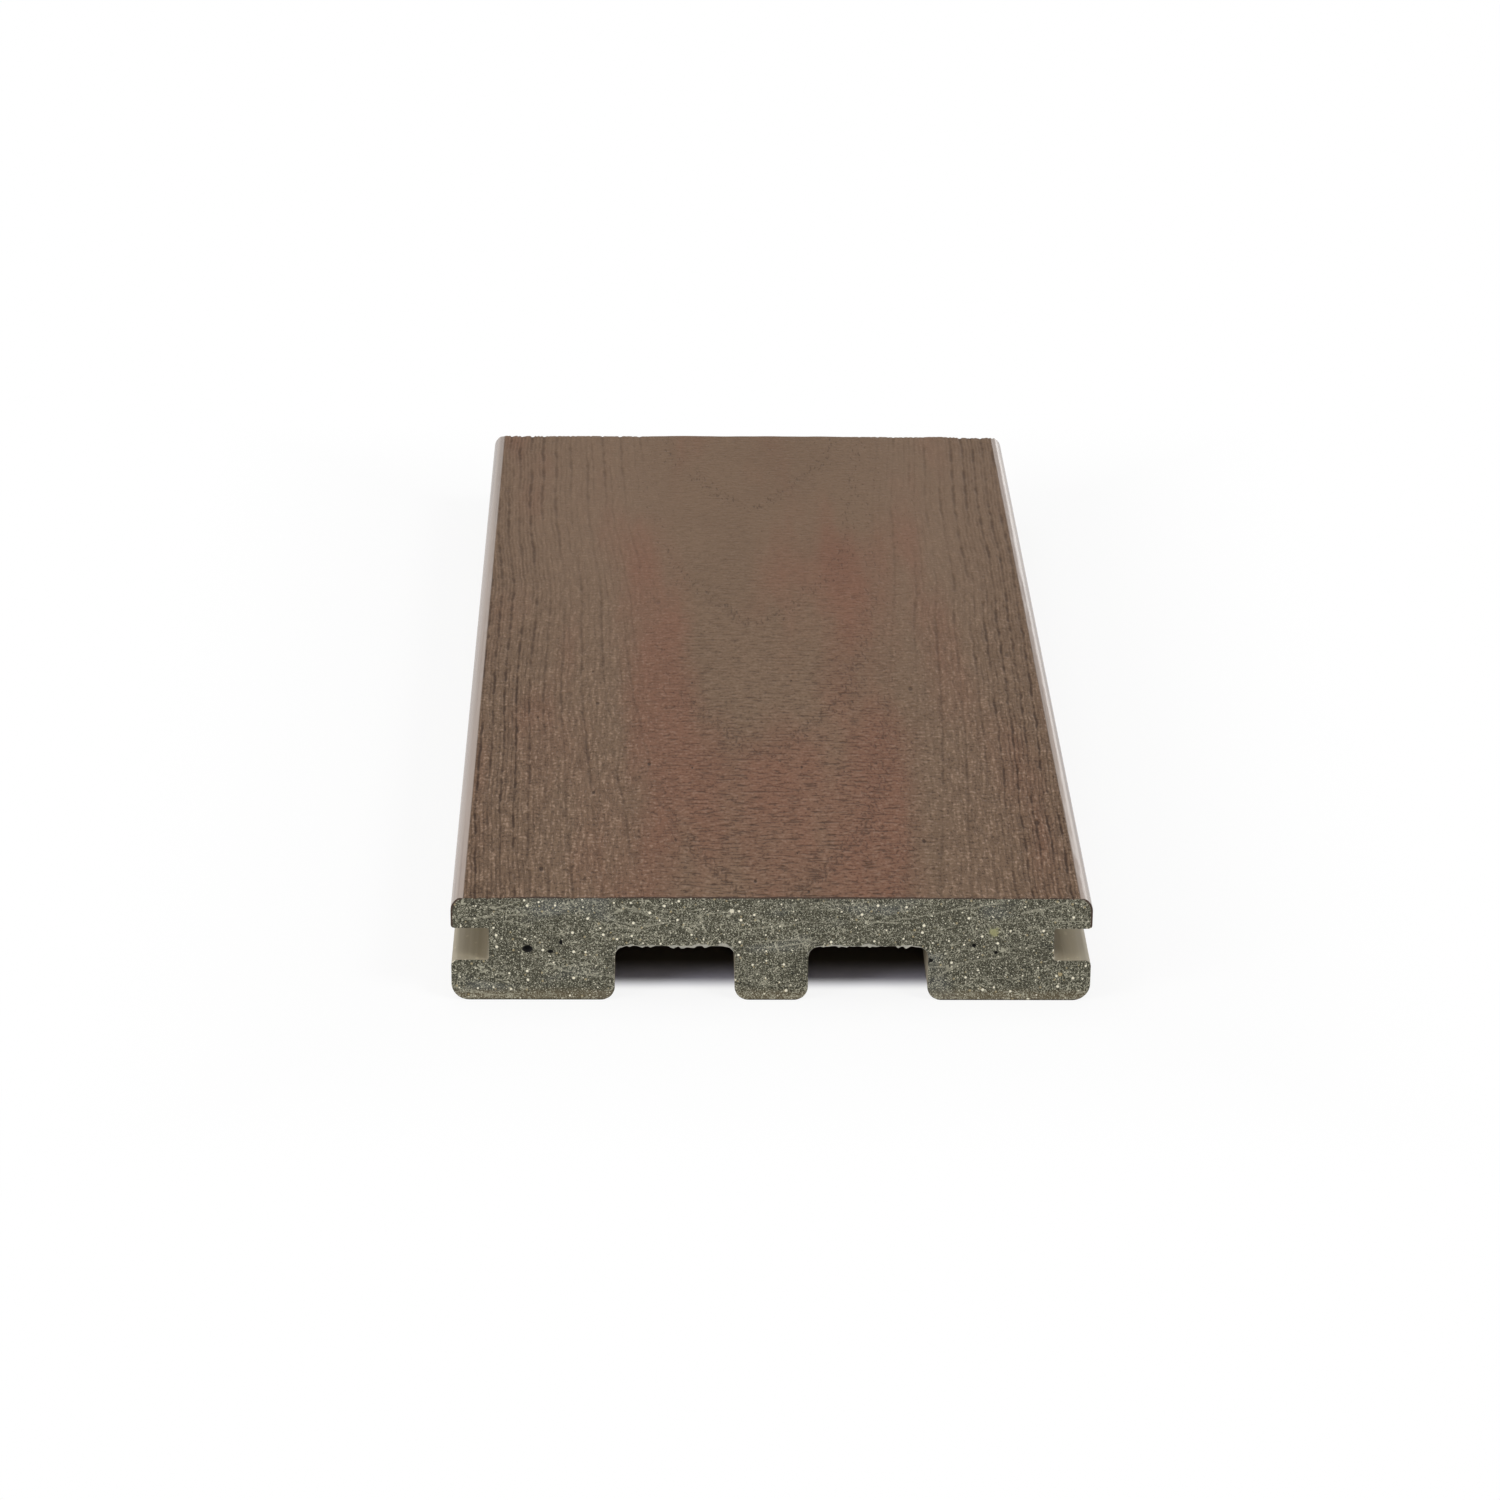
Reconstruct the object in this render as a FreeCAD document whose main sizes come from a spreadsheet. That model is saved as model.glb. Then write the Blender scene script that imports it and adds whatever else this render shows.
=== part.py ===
# Grooved composite decking board: one extruded length, sawn square at both ends.
# X runs across the board, Y along it and Z up, with the origin under its middle, on the plane it lies on.
import FreeCAD, Part
import os
import Sketcher

# Driving dimensions in millimetres
sizes = {
    "length": 305.0,
    "width": 136.0,
    "thickness": 24.0,
    "upper_lip": 7.3,
    "groove_height": 7.4,
    "groove_depth": 8.0,
    "rib_width": 15.6,
    "channel_width": 25.5,
    "channel_depth": 12.6,
    "shoulder_radius": 3.2,
    "upper_lip_radius": 0.7,
    "lower_lip_radius": 1.2,
    "heel_radius": 3.8,
    "groove_root_radius": 0.5,
    "channel_roof_radius": 2.6,
    "channel_mouth_radius": 3.0,
}

doc = FreeCAD.newDocument("decking_board")
sheet = doc.addObject("Spreadsheet::Sheet", "Sizes")
for row, (alias, value) in enumerate(sizes.items(), 1):
    sheet.set(f"A{row}", alias)
    sheet.set(f"B{row}", str(value))
    sheet.setAlias(f"B{row}", alias)
doc.recompute()

body = doc.addObject("PartDesign::Body", "DeckingBoard")
body.Label = "decking_board"


def origin_plane(role):
    return next(plane for plane in body.Origin.OriginFeatures if plane.Role == role)


# Levels and walls of the right half of the section
half_width = sizes["width"] / 2
groove_wall = half_width - sizes["groove_depth"]
groove_roof = sizes["thickness"] - sizes["upper_lip"]
groove_floor = groove_roof - sizes["groove_height"]
rib_wall = sizes["rib_width"] / 2
foot_wall = rib_wall + sizes["channel_width"]
channel_roof = sizes["channel_depth"]

# The sides of that half with sharp corners, from the middle of the centre rib round to the top.
# Each side is named, and starts at the corner beside its name.
corners = {
    "rib_sole": FreeCAD.Vector(0, 0),
    "rib_side": FreeCAD.Vector(rib_wall, 0),
    "channel_top": FreeCAD.Vector(rib_wall, channel_roof),
    "foot_side": FreeCAD.Vector(foot_wall, channel_roof),
    "foot_sole": FreeCAD.Vector(foot_wall, 0),
    "lower_lip_side": FreeCAD.Vector(half_width, 0),
    "groove_base": FreeCAD.Vector(half_width, groove_floor),
    "groove_back": FreeCAD.Vector(groove_wall, groove_floor),
    "groove_ceiling": FreeCAD.Vector(groove_wall, groove_roof),
    "upper_lip_side": FreeCAD.Vector(half_width, groove_roof),
    "deck_face": FreeCAD.Vector(half_width, sizes["thickness"]),
    "middle": FreeCAD.Vector(0, sizes["thickness"]),
}
sides = list(corners)
next_side = dict(zip(sides, sides[1:] + sides[:1]))


# The points at which a side starts and ends, and whether it lies level
def start_of(side):
    return (sides.index(side), 1)


def end_of(side):
    return (sides.index(side), 2)


def is_level(side):
    return corners[side].y == corners[next_side[side]].y


section = body.newObject("Sketcher::SketchObject", "Section")
section.AttachmentSupport = [(origin_plane("XZ_Plane"), "")]
section.MapMode = "FlatFace"
for side in sides:
    line = section.addGeometry(Part.LineSegment(corners[side], corners[next_side[side]]))
    section.addConstraint(Sketcher.Constraint("Horizontal" if is_level(side) else "Vertical", line))
for side in sides:
    section.addConstraint(Sketcher.Constraint("Coincident", *end_of(side), *start_of(next_side[side])))

# Each rounding starts this small, so that it fits any side, and then takes its radius from the sheet
first_radius = 0.1


# Round the corner at which a side ends
def rounding(side, formula):
    section.fillet(*end_of(side), first_radius, True, False)
    arc = section.GeometryCount - 1
    name = f"{side}_end"
    index = section.addConstraint(Sketcher.Constraint("Radius", arc, first_radius))
    section.renameConstraint(index, name)
    section.setExpression(f"Constraints.{name}", formula)


# A lip is rounded above and below, so each rounding gives way before it takes half of a thin lip
share_of_lip = 0.45
upper_lip_limit = f"{share_of_lip} * Sizes.upper_lip"
lower_lip_limit = f"{share_of_lip} * (Sizes.thickness - Sizes.upper_lip - Sizes.groove_height)"

rounding("upper_lip_side", f"min(Sizes.shoulder_radius; {upper_lip_limit})")
rounding("groove_ceiling", f"min(Sizes.upper_lip_radius; {upper_lip_limit})")
rounding("lower_lip_side", f"min(Sizes.lower_lip_radius; {lower_lip_limit})")
rounding("foot_sole", f"min(Sizes.heel_radius; {lower_lip_limit})")
rounding("groove_base", "Sizes.groove_root_radius")
rounding("groove_back", "Sizes.groove_root_radius")
rounding("rib_side", "Sizes.channel_roof_radius")
rounding("channel_top", "Sizes.channel_roof_radius")
rounding("rib_sole", "Sizes.channel_mouth_radius")
rounding("foot_side", "Sizes.channel_mouth_radius")

# The rib stands on the origin, the foot is level with it, and the two lips are equally wide
sketch_origin = (-1, 1)
lower_lip, upper_lip = start_of("lower_lip_side"), start_of("upper_lip_side")
section.addConstraint(Sketcher.Constraint("Coincident", *start_of("rib_sole"), *sketch_origin))
section.addConstraint(Sketcher.Constraint("Horizontal", *start_of("rib_sole"), *start_of("foot_sole")))
section.addConstraint(Sketcher.Constraint("Vertical", *lower_lip, *upper_lip))


# Tie the gap from one side to a parallel side above it or to its right to the sheet
def dimension(name, low_side, high_side, formula):
    low, high = start_of(low_side), start_of(high_side)
    gap = section.getPoint(*high) - section.getPoint(*low)
    kind, value = ("DistanceY", gap.y) if is_level(low_side) else ("DistanceX", gap.x)
    index = section.addConstraint(Sketcher.Constraint(kind, *low, *high, value))
    section.renameConstraint(index, name)
    section.setExpression(f"Constraints.{name}", formula)


dimension("half_width", "middle", "lower_lip_side", "Sizes.width / 2")
dimension("thickness", "rib_sole", "deck_face", "Sizes.thickness")
dimension("upper_lip", "groove_ceiling", "deck_face", "Sizes.upper_lip")
dimension("groove_height", "groove_base", "groove_ceiling", "Sizes.groove_height")
dimension("groove_depth", "groove_back", "upper_lip_side", "Sizes.groove_depth")
dimension("half_rib", "middle", "rib_side", "Sizes.rib_width / 2")
dimension("channel_width", "rib_side", "foot_side", "Sizes.channel_width")
dimension("channel_depth", "rib_sole", "channel_top", "Sizes.channel_depth")
doc.recompute()

# The half board, and its mirror image on the other side of the middle
half_board = body.newObject("PartDesign::Pad", "HalfBoard")
half_board.Profile = section
half_board.SideType = "Symmetric"
half_board.setExpression("Length", "Sizes.length")
doc.recompute()

whole_board = body.newObject("PartDesign::Mirrored", "WholeBoard")
whole_board.Originals = [half_board]
whole_board.MirrorPlane = (origin_plane("YZ_Plane"), [""])
body.Tip = whole_board
doc.recompute()

# Nothing is written unless every step of the model came out whole
failed = [item.Name for item in doc.Objects if {"Invalid", "Error"} & set(item.State)]
if failed or not section.FullyConstrained:
    raise RuntimeError(f"failed objects: {failed}, section fully constrained: {section.FullyConstrained}")
board = body.Shape
if board.isNull() or not board.isValid() or len(board.Solids) != 1:
    raise RuntimeError("the board is not one valid solid")
box = board.BoundBox
tolerance = 1e-6
if abs(box.XMin + box.XMax) > tolerance:
    raise RuntimeError("the mirrored half is missing")

os.makedirs("parts", exist_ok=True)
board.exportStep(f"parts/{body.Label}.step")
print(f"{body.Label}: {box.XLength:.2f} x {box.YLength:.2f} x {box.ZLength:.2f} mm")
print(f"volume {board.Volume / 1000:.1f} cm3")
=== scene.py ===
import bmesh
import bpy
import math
import random
from mathutils import Matrix, Vector
from mathutils.geometry import delaunay_2d_cdt, intersect_point_line


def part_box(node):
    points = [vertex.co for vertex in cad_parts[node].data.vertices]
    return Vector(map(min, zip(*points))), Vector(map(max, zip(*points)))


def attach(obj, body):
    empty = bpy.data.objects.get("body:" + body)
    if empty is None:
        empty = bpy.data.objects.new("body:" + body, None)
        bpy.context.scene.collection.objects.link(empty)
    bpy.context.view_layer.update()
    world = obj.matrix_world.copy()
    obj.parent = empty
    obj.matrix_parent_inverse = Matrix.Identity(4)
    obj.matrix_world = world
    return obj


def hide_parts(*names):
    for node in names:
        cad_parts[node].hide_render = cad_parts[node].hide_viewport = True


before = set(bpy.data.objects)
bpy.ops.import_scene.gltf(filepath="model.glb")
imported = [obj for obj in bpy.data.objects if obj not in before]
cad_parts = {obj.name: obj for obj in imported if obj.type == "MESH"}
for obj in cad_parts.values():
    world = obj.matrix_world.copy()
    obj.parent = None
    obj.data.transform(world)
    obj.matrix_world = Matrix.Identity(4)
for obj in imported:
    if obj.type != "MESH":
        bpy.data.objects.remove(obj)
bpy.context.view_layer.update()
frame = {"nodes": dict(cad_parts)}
scene = bpy.context.scene
mm = 0.001
print("frame loaded with", ", ".join(frame["nodes"]))


# A value in a node tree: arithmetic on it adds Math nodes
class Wire:
    def __init__(self, bench, socket):
        self.bench = bench
        self.socket = socket

    def beside(self, name):  # another output of the same node
        return Wire(self.bench, self.socket.node.outputs[name])

    def __add__(self, other):
        return self.bench.math("ADD", self, other)

    def __sub__(self, other):
        return self.bench.math("SUBTRACT", self, other)

    def __rsub__(self, other):
        return self.bench.math("SUBTRACT", other, self)

    def __mul__(self, other):
        return self.bench.math("MULTIPLY", self, other)

    def __truediv__(self, other):
        return self.bench.math("DIVIDE", self, other)

    def __abs__(self):
        return self.bench.math("ABSOLUTE", self)

    __radd__ = __add__
    __rmul__ = __mul__


# One node tree and the nodes that are added to it
class Bench:
    def __init__(self, tree):
        self.tree = tree

    def add(self, kind, settings=(), sockets=(), output=0):
        node = self.tree.nodes.new(kind)
        for name, value in dict(settings).items():
            setattr(node, name, value)
        for key, value in dict(sockets).items():
            wires = value if isinstance(value, list) else [value]
            for item in wires:
                if isinstance(item, Wire):
                    self.tree.links.new(item.socket, node.inputs[key])
                else:
                    node.inputs[key].default_value = item
        return Wire(self, node.outputs[output]) if node.outputs else None

    def math(self, operation, *values):
        return self.add("ShaderNodeMath", {"operation": operation}, dict(enumerate(values)))

    def above(self, value):  # the value, or 0 where it is less
        return self.math("MAXIMUM", value, 0)

    def hypot(self, x, y):
        return self.math("SQRT", x * x + y * y)

    def step(self, value, low, high):  # rises smoothly from 0 at low to 1 at high
        limits = {"Value": value, "From Min": low, "From Max": high}
        return self.add("ShaderNodeMapRange", {"interpolation_type": "SMOOTHSTEP"}, limits)

    def between(self, share, low, high):  # low where the share is 0, high where it is 1
        return share * (high - low) + low

    def vector(self, x, y, z):
        return self.add("ShaderNodeCombineXYZ", {}, {"X": x, "Y": y, "Z": z})

    def noise(self, x, y, z, detail=1, distortion=0):
        sockets = {"Vector": self.vector(x, y, z), "Scale": 1, "Detail": detail, "Distortion": distortion}
        return self.add("ShaderNodeTexNoise", {}, sockets)

    def spread(self, x, y, look):  # noise over a face
        scaleX, scaleY, seed, detail = look
        return self.noise(x * scaleX, y * scaleY, seed, detail)

    def cells(self, x, y):  # distance to scattered points in a plane, and a chance for each point
        sockets = {"Vector": self.vector(x, y, 0), "Scale": 1}
        away = self.add("ShaderNodeTexVoronoi", {"voronoi_dimensions": "2D"}, sockets, "Distance")
        return away, self.split(away.beside("Color"))[0]

    def split(self, place):
        parts = self.add("ShaderNodeSeparateXYZ", {}, {0: place})
        return parts, parts.beside("Y"), parts.beside("Z")

    def mix(self, share, first, second):
        return self.add("ShaderNodeMix", {"data_type": "RGBA"}, {0: share, 6: first, 7: second}, 2)


def tint(red, green, blue):  # screen values from 0 to 255
    def linear(level):
        level = level / 255
        return level / 12.92 if level <= 0.04045 else ((level + 0.055) / 1.055) ** 2.4

    return (linear(red), linear(green), linear(blue), 1)


# The board's section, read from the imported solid
section = {
    "node": "decking_board",
    "weld": 1e-6,
    "straightRun": 1.2 * mm,  # a longer piece of the outline is a flat side
    "arcStep": 0.5 * mm,
    "leastArcSteps": 3,
    "sides": {  # the flat sides of the right half, from the middle of the underside up, and their spacing
        "ribSole": 2.4 * mm,
        "ribSide": 1.8 * mm,
        "channelTop": 0.55 * mm,
        "footSide": 1.8 * mm,
        "footSole": 2.8 * mm,
        "lowerLipSide": 1.4 * mm,
        "grooveBase": 1.6 * mm,
        "grooveBack": 1.6 * mm,
        "grooveCeiling": 1.7 * mm,
        "upperLipSide": 0.8 * mm,
        "deckFace": 0.75 * mm,
    },
    "grainedFrom": 30 * mm,  # the deck face is finer from here out to its edges
    "grainedStep": 0.45 * mm,
}


def readHalfOutline():
    solid = bmesh.new()
    solid.from_mesh(frame["nodes"][section["node"]].data)
    bmesh.ops.remove_doubles(solid, verts=solid.verts, dist=section["weld"])
    front = min(v.co.y for v in solid.verts) + section["weld"]
    endFaces = {f for f in solid.faces if all(v.co.y < front for v in f.verts)}
    beside = {}
    for edge in solid.edges:
        if sum(f in endFaces for f in edge.link_faces) == 1:
            first, second = edge.verts
            beside.setdefault(first, []).append(second)
            beside.setdefault(second, []).append(first)
    loop = [next(iter(beside))]
    loop.append(beside[loop[0]][0])
    while loop[-1] is not loop[0]:
        first, second = beside[loop[-1]]
        loop.append(second if first is loop[-2] else first)
    points = [Vector((v.co.x, v.co.z)) for v in loop[:-1]]
    solid.free()
    start = next(i for i, p in enumerate(points) if points[i - 1].x <= 0 < p.x)
    points = points[start:] + points[:start]
    half = [p for p in points if p.x > 0]
    if half[0].y > half[-1].y:
        half.reverse()
    return [Vector((0, half[0].y))] + half + [Vector((0, half[-1].y))]


def spaced(start, end, step):  # points from start up to the last before end
    count = max(1, round((end - start).length / step))
    return [start.lerp(end, i / count) for i in range(count)]


def thinned(bow):  # fewer points of a rounding, up to the last before its end
    run = sum((b - a).length for a, b in zip(bow, bow[1:]))
    count = max(section["leastArcSteps"], round(run / section["arcStep"]))
    count = min(count, len(bow) - 1)
    return [bow[round(i * (len(bow) - 1) / count)] for i in range(count)]


halfOutline = readHalfOutline()
side = {}  # where each flat side starts and ends
rightHalf = []
arc = []
names = list(section["sides"])
for start, end in zip(halfOutline, halfOutline[1:]):
    if (end - start).length < section["straightRun"]:
        arc.append(start)
        continue
    if arc:
        rightHalf += thinned(arc + [start])
        arc = []
    name = names[len(side)]
    side[name] = (start, end)
    if name == "deckFace":
        turn = Vector((section["grainedFrom"], start.y))
        rightHalf += spaced(start, turn, section["grainedStep"])
        start = turn
    rightHalf += spaced(start, end, section["sides"][name])
rightHalf.append(halfOutline[-1])
leftHalf = [Vector((-p.x, p.y)) for p in reversed(rightHalf[1:-1])]
outline = rightHalf + leftHalf
lowCorner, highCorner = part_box(section["node"])
frontY, farY = lowCorner.y, highCorner.y
length = farY - frontY
halfLength = length / 2
halfWidth = highCorner.x
thickness = highCorner.z
channelRoof = side["channelTop"][0].y
grooveRoof = side["grooveCeiling"][0].y
roofRadius = channelRoof - side["ribSide"][1].y
shoulder = thickness - side["upperLipSide"][1].y
ribWall = side["ribSide"][0].x
footWall = side["footSide"][0].x
print("section read:", len(side), "flat sides,", len(outline), "points")


# Wood grain that the rollers press into the deck face: nested arches whose arms crowd into side lines.
# Scales are per metre, and a pair of limits is where a smooth step starts and ends.
grain = {
    "seed": 4.0,
    "firstRing": 58 * mm,  # from the far end to an arch's tip
    "ringGap": 84 * mm,  # from tip to tip
    "tipSlope": 28,  # rings crossed per metre along the slanted arms
    "tipRound": 4 * mm,
    "archHalf": 18 * mm,  # half width of an arch
    "archBend": 14 * mm,  # how far an arm takes to turn along the side
    "lineGap": 4.4 * mm,  # between lines at the sides
    "crowdFrom": 44 * mm,  # lines crowd from here out to the edges
    "crowding": 3600,  # lines added per square metre of that way
    "sideSlant": 0.45,  # how much of the rings' run along the board is left at the sides
    "slantedTo": 54 * mm,  # from the middle, where that is all that is left
    "drifts": [  # how far lines wander, scale across, scale along, seed
        (6 * mm, 9, 8, 4.0),
        (1.2 * mm, 70, 45, 9.0),
        (0.7 * mm, 50, 240, 12.0),
    ],
    "lineHalf": 0.42 * mm,
    "grooveHalf": 0.62 * mm,  # the pressed groove is wider than its dark line
    "lineCore": 0.2,  # share of a line's half width at full depth
    "widths": {"least": 0.6, "beads": 0.5, "outer": 0.1},
    "depths": {"least": 0.08, "sides": 0.52, "outer": 0.32},
    "strong": (3.7, 16, 20),  # what varies a line's strength: from ring to ring, scale across and along
    "strongLimits": (0.36, 0.6),
    "strengths": (0.15, 1),
    "outerStrength": 0.08,
    "beads": (5.3, 150, 3),  # what varies its width: from ring to ring, scale along, detail
    "beadLimits": (0.38, 0.6),
    "beadDepths": (0.5, 1),
    "fine": {"rings": 3, "shift": 9, "half": 0.6, "depth": 0.6},  # finer lines between
    "quietMiddle": 4 * mm,  # lines are faint round here, and full where this fades out
    "quietHalf": 16 * mm,
    "quietFade": 26 * mm,
    "outerFrom": 48 * mm,  # lines are strongest past here
    "outerFade": 10 * mm,
}


# Returns how deep the grain lines are at a point, how much of a side it is,
# how far it is from a ring, and the grain's own place across
def grainLines(bench, across, along, half):
    bent = across
    for reach, scaleAcross, scaleAlong, seed in grain["drifts"]:
        bent = bent + (bench.noise(across * scaleAcross, along * scaleAlong, seed) - 0.5) * reach
    bend = grain["archBend"]
    tip = grain["tipRound"]
    beyond = bench.above(abs(bent) - grain["archHalf"])
    turn = bench.hypot(beyond, bend)
    arm = bench.hypot(bent, tip)
    fromTip = (farY - grain["firstRing"] - along) / grain["ringGap"]
    straightened = bench.step(abs(bent), grain["archHalf"], grain["slantedTo"])
    fromTip = fromTip * bench.between(straightened, 1, grain["sideSlant"])
    outward = bench.above(abs(bent) - grain["crowdFrom"])
    phase = fromTip + (arm - tip) * grain["tipSlope"] + (turn - bend) / grain["lineGap"]
    phase = phase + outward * outward * grain["crowding"]
    steepness = abs(bent) / arm * grain["tipSlope"] + beyond / turn / grain["lineGap"]
    steepness = steepness + outward * (2 * grain["crowding"])
    crowding = bench.hypot(steepness, 1 / grain["ringGap"])
    fromMiddle = abs(across - grain["quietMiddle"])
    sides = bench.step(fromMiddle, grain["quietHalf"], grain["quietHalf"] + grain["quietFade"])
    outer = bench.step(abs(across), grain["outerFrom"], grain["outerFrom"] + grain["outerFade"])
    widths, depths, fine = grain["widths"], grain["depths"], grain["fine"]

    def lines(rings, shift, lineHalf):
        ring = bench.math("ROUND", phase * rings)
        gap = abs(phase * rings - ring) / (crowding * rings)
        ringStep, scaleAcross, scaleAlong = grain["strong"]
        place = (across * scaleAcross, along * scaleAlong + grain["seed"])
        strength = bench.noise(ring * ringStep + shift, *place)
        strength = bench.step(strength + outer * grain["outerStrength"], *grain["strongLimits"])
        ringStep, scaleAlong, detail = grain["beads"]
        beads = bench.noise(ring * ringStep + shift, along * scaleAlong, grain["seed"], detail)
        beads = bench.step(beads, *grain["beadLimits"])
        width = (beads * widths["beads"] + outer * widths["outer"] + widths["least"]) * lineHalf
        line = 1 - bench.step(gap, width * grain["lineCore"], width)
        line = line * bench.between(strength, *grain["strengths"])
        return line * bench.between(beads, *grain["beadDepths"]), gap

    main, gap = lines(1, 0, half)
    between = lines(fine["rings"], fine["shift"], half * fine["half"])[0] * fine["depth"]
    line = bench.math("MAXIMUM", main, between)
    depth = line * (sides * depths["sides"] + outer * depths["outer"] + depths["least"])
    return depth, sides, gap, bent


# Finishes
def shaderBench(name):
    material = bpy.data.materials.new(name)
    material.use_nodes = True
    material.node_tree.nodes.clear()
    return material, Bench(material.node_tree)


def boardPlace(bench):  # across, along and up
    return bench.split(bench.add("ShaderNodeTexCoord", {}, {}, "Object"))


def drawnLines(bench, place, look):  # noise drawn out along the board
    across, along, up = place
    scaleRound, scaleAlong, detail = look
    return bench.noise(across * scaleRound, along * scaleAlong, up * scaleRound, detail)


def finishSurface(bench, settings):
    surface = bench.add("ShaderNodeBsdfPrincipled", {}, settings)
    bench.add("ShaderNodeOutputMaterial", {}, {"Surface": surface})


def bumpFrom(bench, height, relief):
    return bench.add("ShaderNodeBump", {}, {"Strength": 1, "Distance": relief, "Height": height})


deckSkin = {
    "name": "embossedBrownSkin",
    "grey": tint(114, 92, 73),
    "red": tint(118, 84, 66),
    "pale": tint(156, 132, 113),
    "deep": tint(53, 36, 24),
    # paler than the deck: partly the plain skin, partly painted sheen on the shoulders
    "edge": tint(146, 128, 115),
    "edgeStreak": tint(112, 93, 79),
    "roughness": 0.63,
    "mottleRoughness": 0.1,
    "shine": 0.14,
    "calmTo": 40 * mm,  # from the far end, where the fine texture is faint
    "wrinkledFrom": 270 * mm,
    "lineWidths": (1.5, 1),  # of the grain lines, from the far end to the near one
    "lineDark": (0.65, 1.03),
    "redStrip": 24 * mm,  # from the middle to a redder strip
    "redSpread": 15 * mm,
    "redFrom": (40 * mm, 110 * mm),  # from the far end, where the strips begin and are full
    "redFoot": (180 * mm, 250 * mm),  # and where they join up
    "redLift": 0.25,
    "redLimits": (0.48, 0.84),
    "streaks": (60, 9, 21, 3),  # each noise: scale across, scale along, seed, detail
    # painted sheen on the sides towards the far end
    "paintedFarSheen": 0.1,
    "clouds": (55, 26, 41, 2),
    "cloudLimits": (0.42, 0.62),
    "cloudDark": 0.075,
    "cross": (460, 820, 17, 3),
    "crossShare": (0.25, 0.54),  # at the sides, in the middle
    "thread": (1300, 110, 3, 3),
    "threadShare": 0.29,
    "mottle": (1500, 850, 9, 1),
    "mottleShare": 0.46,
    "rise": (0.65, 1.15),  # of the fine texture at the near end: in the middle, at the sides
    "calmRise": 0.35,
    "ridgeLimits": (0.51, 0.63),
    "ridgePale": (0.32, 0.52),  # tone and painted light on the ridges: in the middle, at the sides
    "hollowLimits": (0.37, 0.49),
    "hollowDark": (0.5, 0.62),  # tone and painted shade in the hollows: at the sides, in the middle
    "wrinkle": (260, 860, 23, 2),
    "wrinkleLimits": (0.35, 0.47),
    "wrinkleDark": (0.1, 0.6),  # at the sides, in the middle
    "wrinkleFade": (0.15, 1),  # from the far end to the near one
    "seamAt": 0.46,  # level of the threads where a lengthwise crease runs
    "seamLimits": (0.008, 0.045),
    "seamBroken": (0.42, 0.6),
    "seamDark": (0.2, 0.5),  # from the far end to the near one
    "pore": (1500, 330, 31, 1),
    "poreLimits": (0.7, 0.8),
    "poreDark": 0.46,
    "poreBand": (0.8 * mm, 4 * mm),  # from a ring
    "poreCrowd": (0.135, 0.195),  # from the far end to the near one
    "pitScale": (84, 27),
    "pitHalf": 0.062,  # largest, in cells
    "pitCore": 0.4,
    "pitDark": 0.9,
    "pitFade": (0.1, 1),  # from the far end to the near one
    "smoothFrom": 2.85 * mm,  # the shoulder is plain and smooth within this of the board's side
    "smoothTo": 2.5 * mm,
    "edgeLines": (800, 6, 3),  # scale round the section, scale along, detail
    "edgeLimits": (0.42, 0.66),
    "edgeLineShare": 0.7,
    "edgeShine": 1.0,
    "edgeRoughness": 0.25,
    "heights": (0.35, 0.2, 0.25, 0.4),  # of the texture, pores, creases and pits, in shares of the relief
    "smoothHeight": 0.05,
    "relief": 1.0 * mm,
}


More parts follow.
